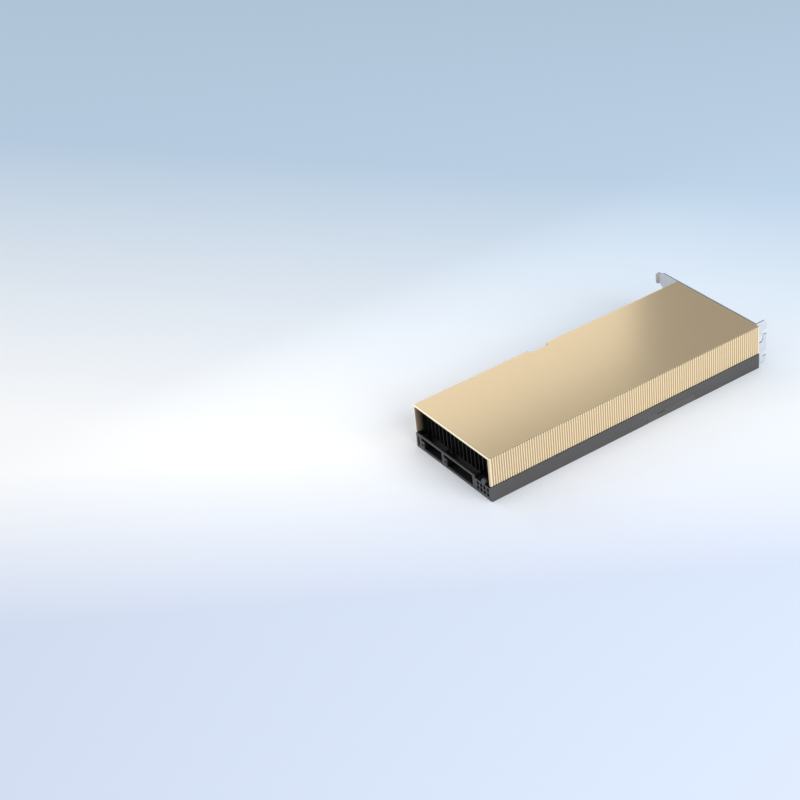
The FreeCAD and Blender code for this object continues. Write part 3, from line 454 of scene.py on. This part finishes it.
def coverSurface(settings):
    # The point at station x and section line v is (x, y(x, v), z(x, v)). v runs up the outside of the near
    # wall, over the top and down the far wall, then back along the inside. The near outer lines move in by
    # the groove, its depth times the root of 1 - (distance from its middle / half its width) squared; the far
    # lines move in by the notch, a ramp up to its depth; the first and last stations draw the outer lines in
    # by the rim's break.
    low, high = coverLow, coverHigh
    c = settings
    middle = (low[0] + high[0]) / 2
    half = c["grooveWidth"] / 2
    count = int((high[0] - low[0] - c["grooveWidth"]) / c["pitch"])
    centres = middle + (np.arange(count) - (count - 1) / 2) * c["pitch"]
    turn = np.linspace(0, math.pi, c["grooveSteps"] + 1)
    slope = c["notchSlope"]
    corners = [c["notchFront"], c["notchFront"] + slope, c["notchRear"] - slope, c["notchRear"]]
    ends = [low[0], low[0] + c["rimBreak"], high[0] - c["rimBreak"], high[0]]
    across = (centres[:, None] - half * np.cos(turn)).ravel()
    x = np.unique(np.round(np.concatenate([across, corners, ends]), 7))
    off = np.abs(x[:, None] - centres).min(axis=1) / half
    groove = c["grooveDepth"] * np.sqrt(np.clip(1 - off ** 2, 0, None))
    notch = c["notchDepth"] * np.clip(np.minimum(x - c["notchFront"], c["notchRear"] - x) / slope, 0, 1)
    rim = np.where((x <= x[0]) | (x >= x[-1]), c["rimBreak"], 0.0)

    edge, crisp = c["edgeBreak"], c["nearBreak"]
    inner = high[2] - c["topSheet"]
    bend = np.linspace(0, math.pi / 2, c["bendSteps"] + 1)
    # each section line: y, z, share of the groove, of the notch, and of the rim's break in y and in z
    outside = [(low[1] + edge, low[2], 1, 0, 1, 0), (low[1], low[2] + edge, 1, 0, 1, 0),
               (low[1], high[2] - crisp, 1, 0, 1, -1), (low[1] + crisp, high[2], 1, 0, 1, -1),
               (low[1] + c["wall"], high[2], 0, 0, 0, -1), (high[1] - c["farFlat"], high[2], 0, 1, 0, -1)]
    outside += [(high[1] - c["farBend"] * (1 - math.sin(a)), high[2] - c["farBend"] * (1 - math.cos(a)),
                 0, 1, -math.sin(a), -math.cos(a)) for a in bend]
    outside += [(high[1], low[2] + edge, 0, 1, -1, 0), (high[1] - edge, low[2], 0, 1, -1, 0)]
    farFace, nearFace = high[1] - c["farWall"], low[1] + c["wall"]
    inside = [(farFace + edge, low[2], 0, 1, 0, 0), (farFace, low[2] + edge, 0, 1, 0, 0),
              (farFace, inner - edge, 0, 1, 0, 0), (farFace - edge, inner, 0, 1, 0, 0),
              (nearFace + edge, inner, 0, 0, 0, 0), (nearFace, inner - edge, 0, 0, 0, 0),
              (nearFace, low[2] + edge, 0, 0, 0, 0), (nearFace - edge, low[2], 0, 0, 0, 0)]
    lineY, lineZ, takesGroove, takesNotch, rimY, rimZ = np.array(outside + inside).T
    y = lineY + np.outer(groove, takesGroove) - np.outer(notch, takesNotch) + np.outer(rim, rimY)
    z = lineZ + np.outer(rim, rimZ)
    points = np.stack([np.broadcast_to(x[:, None], y.shape), y, z], axis=-1)
    # the two end strips join each outer line to the inner line of the same share of the way round
    lines = len(lineY)
    partner = lines - 1 - np.round(np.linspace(0, len(inside) - 1, len(outside))).astype(int)
    near, far = np.arange(len(outside) - 1), np.arange(1, len(outside))
    strip = np.stack([near, far, partner[far], partner[near]], axis=1)
    farStrip = strip + (len(x) - 1) * lines
    return points, np.concatenate([gridFaces(len(x), lines, closed=True), strip, farStrip])


points, faces = coverSurface(coverSettings)
newPiece("flutedCover", points, faces, "goldAnodised", "top_cover", coverSettings["smoothAngle"])
print("fluted cover made:", len(faces), "faces")


# rigid pieces from the frame with their edges broken, as machining and moulding leave them

brokenEdges = {
    # node: (piece, width of the break, segments)
    "chassis_frame": ("darkFrame", 0.22 * millimetre, 2),
    "backplate": ("backPlate", 0.12 * millimetre, 1),
    "slot_bracket": ("slotBracket", 0.12 * millimetre, 2),
    "power_connector_housing": ("powerHeader", 0.14 * millimetre, 2),
    "bridge_cover": ("bridgeCap", 0.12 * millimetre, 2),
    "heatsink_fins": ("finStack", 0.1 * millimetre, 1),
    "heatsink_base": ("sinkBase", 0.15 * millimetre, 1),
    "circuit_board": ("printedBoard", 0.06 * millimetre, 1),
}
breakSettings = {
    "nearest": 2e-6,                  # corners closer than this are one corner
    "flatAngle": 1.0,                 # degrees below which an edge is left out of the copy
    "breakAngle": 30,                 # degrees above which an edge is broken
    "sharpAngle": 40,
}


def brokenCopy(node, name, width, segments):
    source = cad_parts[node]
    work = bmesh.new()
    work.from_mesh(source.data)
    bmesh.ops.remove_doubles(work, verts=work.verts, dist=breakSettings["nearest"])
    bmesh.ops.dissolve_limit(work, angle_limit=math.radians(breakSettings["flatAngle"]), verts=work.verts,
                             edges=work.edges)
    mesh = bpy.data.meshes.new(name)
    work.to_mesh(mesh)
    work.free()
    mesh.materials.clear()
    mesh.materials.append(finishes[nodeFinish[node]])
    mesh.shade_smooth()
    piece = bpy.data.objects.new(name, mesh)
    bpy.context.scene.collection.objects.link(piece)
    bevel = piece.modifiers.new("edgeBreak", "BEVEL")
    bevel.width = width
    bevel.segments = segments
    bevel.limit_method = "ANGLE"
    bevel.angle_limit = math.radians(breakSettings["breakAngle"])
    bevel.harden_normals = True
    bevel.use_clamp_overlap = True
    mesh.set_sharp_from_angle(angle=math.radians(breakSettings["sharpAngle"]))
    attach(piece, "root")
    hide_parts(node)


for node, (name, width, segments) in brokenEdges.items():
    brokenCopy(node, name, width, segments)
print("edges broken on", len(brokenEdges), "pieces")


# screws, each turned from a profile with a six-sided drive

# each step of a profile, from the middle of the drive to the tip, is (radius, depth below the head's top,
# 1 where the ring is six-sided), in millimetres
drive = [(0, 0.5, 0), (0.8, 0.5, 1), (0.8, 0.05, 1), (0.88, 0, 1)]
countersunk = drive + [(2.2, 0, 0), (2.29, 0.05, 0), (2.29, 0.12, 0), (1.2, 1.2, 0)]
domed = drive + [(1.35, 0.01, 0), (1.75, 0.12, 0), (2.08, 0.36, 0), (2.3, 0.75, 0), (2.38, 1.2, 0),
                 (2.34, 1.3, 0), (1.2, 1.3, 0)]
cheese = drive + [(2.1, 0, 0), (2.28, 0.15, 0), (2.28, 0.9, 0), (1.2, 0.9, 0)]
screwSettings = {
    # node: the way the screw points, and its profile
    "backplate_screws": ((0, 0, 1), countersunk + [(1.2, 5.0, 0), (0, 5.4, 0)]),
    "cover_screws": ((0, -1, 0), countersunk + [(1.2, 2.0, 0), (0, 2.2, 0)]),
    "bracket_screws": ((-1, 0, 0), domed + [(1.2, 7.4, 0), (0, 8.0, 0)]),
    "heatsink_screws": ((0, 0, 1), cheese + [(1.2, 6.0, 0), (0, 6.2, 0)]),
}
screwSides = 36
screwSmoothAngle = 30.0


def solidBoxes(node):
    # low and high corners of each separate solid in a node: the lowest point number spreads along the edges
    # until every solid carries one number of its own
    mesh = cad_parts[node].data
    points = np.empty(len(mesh.vertices) * 3)
    mesh.vertices.foreach_get("co", points)
    places, same = np.unique(np.round(points.reshape(-1, 3), 6), axis=0, return_inverse=True)
    ends = np.empty(len(mesh.edges) * 2, np.int32)
    mesh.edges.foreach_get("vertices", ends)
    one, two = same.ravel()[ends.reshape(-1, 2)].T
    label = np.arange(len(places))
    settled = False
    while not settled:
        lowest = np.minimum(label[one], label[two])
        spread = label.copy()
        np.minimum.at(spread, one, lowest)
        np.minimum.at(spread, two, lowest)
        settled = bool((spread == label).all())
        label = spread
    solids = [places[label == solid] for solid in np.unique(label)]
    return [(corners.min(axis=0), corners.max(axis=0)) for corners in solids]


def screwSurface(node, into, profile):
    # The point at profile step u and angle v is top + depth(u) * into + r(u, v) * (cos v, sin v) across it.
    # A round step has r = radius; a six-sided one has r = radius * cos 30 / cos(v modulo 60 - 30).
    radius, depth, sixSided = np.array(profile, float).T[:, :, None]
    radius, depth = radius * millimetre, depth * millimetre
    angle = np.arange(screwSides) * 2 * math.pi / screwSides
    sixth = math.pi / 6
    hexagon = math.cos(sixth) / np.cos(np.mod(angle, 2 * sixth) - sixth)
    reach = radius * np.where(sixSided > 0, hexagon, 1.0)
    into = np.array(into, float)
    across = np.roll(np.abs(into), 1)
    over = np.cross(into, across)
    ring = (reach * np.cos(angle))[..., None] * across + (reach * np.sin(angle))[..., None] * over
    shape = ring + depth[..., None] * into
    boxes = np.array(solidBoxes(node))
    tops = np.where(into > 0, boxes[:, 0], np.where(into < 0, boxes[:, 1], boxes.mean(axis=1)))
    points = tops[:, None, None, :] + shape[None]
    faces = gridFaces(len(profile), screwSides, closed=True)
    each = len(profile) * screwSides
    return points, (faces[None] + np.arange(len(tops))[:, None, None] * each).reshape(-1, 4)


for node, (into, profile) in screwSettings.items():
    points, faces = screwSurface(node, into, profile)
    newPiece(node.replace("_s", "S"), points, faces, nodeFinish[node], node, screwSmoothAngle)
    print(node, "turned:", len(faces), "faces")


# floor, lights and camera

floorSettings = {
    "size": 8.0,
    "below": 0.1 * millimetre,
    "middle": fromScreen(255, 255, 255),
    # each fade: its colour, the level direction it runs along, how far out its middle is, and its width
    "near": (fromScreen(210, 220, 238), (-0.559, -0.829), 0.12, 0.19),
    "far": (fromScreen(194, 215, 235), (0.799, 0.602), 0.14, 0.48),
}


def paleFloor(settings):
    # painted light and shade: nearly white in a pool under the card, pale blue close by and far off
    half = settings["size"] / 2
    level = cadLow[2] - settings["below"]
    mesh = bpy.data.meshes.new("floor")
    mesh.from_pydata([(-half, -half, level), (half, -half, level), (half, half, level), (-half, half, level)],
                     [], [(0, 1, 2, 3)])
    floor = bpy.data.objects.new("floor", mesh)
    bpy.context.scene.collection.objects.link(floor)
    s = Shader()
    x, y = s.axes("XY")
    shade = settings["middle"]
    for side in ("near", "far"):
        colour, (alongX, alongY), middle, width = settings[side]
        shade = s.mix((x * alongX + y * alongY).step(middle, width), shade, colour)
    material = s.finish(Base_Color=shade, Roughness=0.9 + (s.noise(3.0) - 0.5) * 0.04, Metallic=0.0)
    material.name = "paleFloor"
    mesh.materials.append(material)


paleFloor(floorSettings)

lampSettings = {
    # name: (place, aims at, width, height, power, whether shiny surfaces mirror it)
    "rearPanel": ((-1.0, 1.5, 1.3), (0.0, 0.0, 0.0), 2.2, 1.8, 8.5, True),
    "overhead": ((-0.2, -0.1, 2.2), (0.0, 0.0, 0.0), 1.8, 1.8, 8.0, False),
    "sidePanel": ((0.15, -1.75, 1.0), (0.0, 0.0, 0.02), 2.0, 1.4, 36.5, False),
    # a white board behind the far side, which the top face mirrors on its front two thirds
    "backBoard": ((-0.014, 0.27, 0.199), (-0.014, 0.0, 0.199), 0.572, 0.178, 0.206, True),
}


def panel(name, place, aim, width, height, power, mirrored):
    lamp = bpy.data.lights.new(name, "AREA")
    lamp.shape = "RECTANGLE"
    lamp.size = width
    lamp.size_y = height
    lamp.energy = power
    holder = bpy.data.objects.new(name, lamp)
    bpy.context.scene.collection.objects.link(holder)
    back = np.array(place) - np.array(aim)
    back /= np.linalg.norm(back)
    side = np.cross((0, 0, 1), back)
    side /= np.linalg.norm(side)
    turn = np.eye(4)
    turn[:3, 0], turn[:3, 1], turn[:3, 2], turn[:3, 3] = side, np.cross(back, side), back, place
    holder.matrix_world = Matrix(turn)
    holder.visible_camera = False
    holder.visible_glossy = mirrored


for name, settings in lampSettings.items():
    panel(name, *settings)

roomSettings = {"Color": (0.93, 0.96, 1.0, 1.0), "Strength": 0.47}
world = bpy.data.worlds.new("softRoom")
world.use_nodes = True
for key, value in roomSettings.items():
    world.node_tree.nodes["Background"].inputs[key].default_value = value
bpy.context.scene.world = world

cameraSettings = {
    "place": (-0.7682, -0.9908, 0.8523),
    "azimuth": -30.95,                # degrees the view is turned from +Y, negative towards +X
    "elevation": 33.56,               # degrees it looks down
    "roll": 6.54,
    "lens": 85.88,                    # millimetres, as the sensor's width
    "sensor": 36.0,
}


def placeCamera(settings):
    # back points out of the lens: (sin a cos e, -cos a cos e, sin e); the level right and up turn by the roll
    azimuth, elevation, roll = (math.radians(settings[key]) for key in ("azimuth", "elevation", "roll"))
    back = np.array([math.sin(azimuth) * math.cos(elevation), -math.cos(azimuth) * math.cos(elevation),
                     math.sin(elevation)])
    level = np.array([math.cos(azimuth), math.sin(azimuth), 0.0])
    upright = np.cross(back, level)
    turn = np.eye(4)
    turn[:3, 0] = math.cos(roll) * level - math.sin(roll) * upright
    turn[:3, 1] = math.cos(roll) * upright + math.sin(roll) * level
    turn[:3, 2] = back
    turn[:3, 3] = settings["place"]
    lens = bpy.data.cameras.new("camera")
    lens.lens = settings["lens"]
    lens.sensor_width = settings["sensor"]
    camera = bpy.data.objects.new("camera", lens)
    bpy.context.scene.collection.objects.link(camera)
    camera.matrix_world = Matrix(turn)
    bpy.context.scene.camera = camera


placeCamera(cameraSettings)
bpy.context.scene.view_settings.view_transform = "Standard"
print("floor, lamps and camera set")
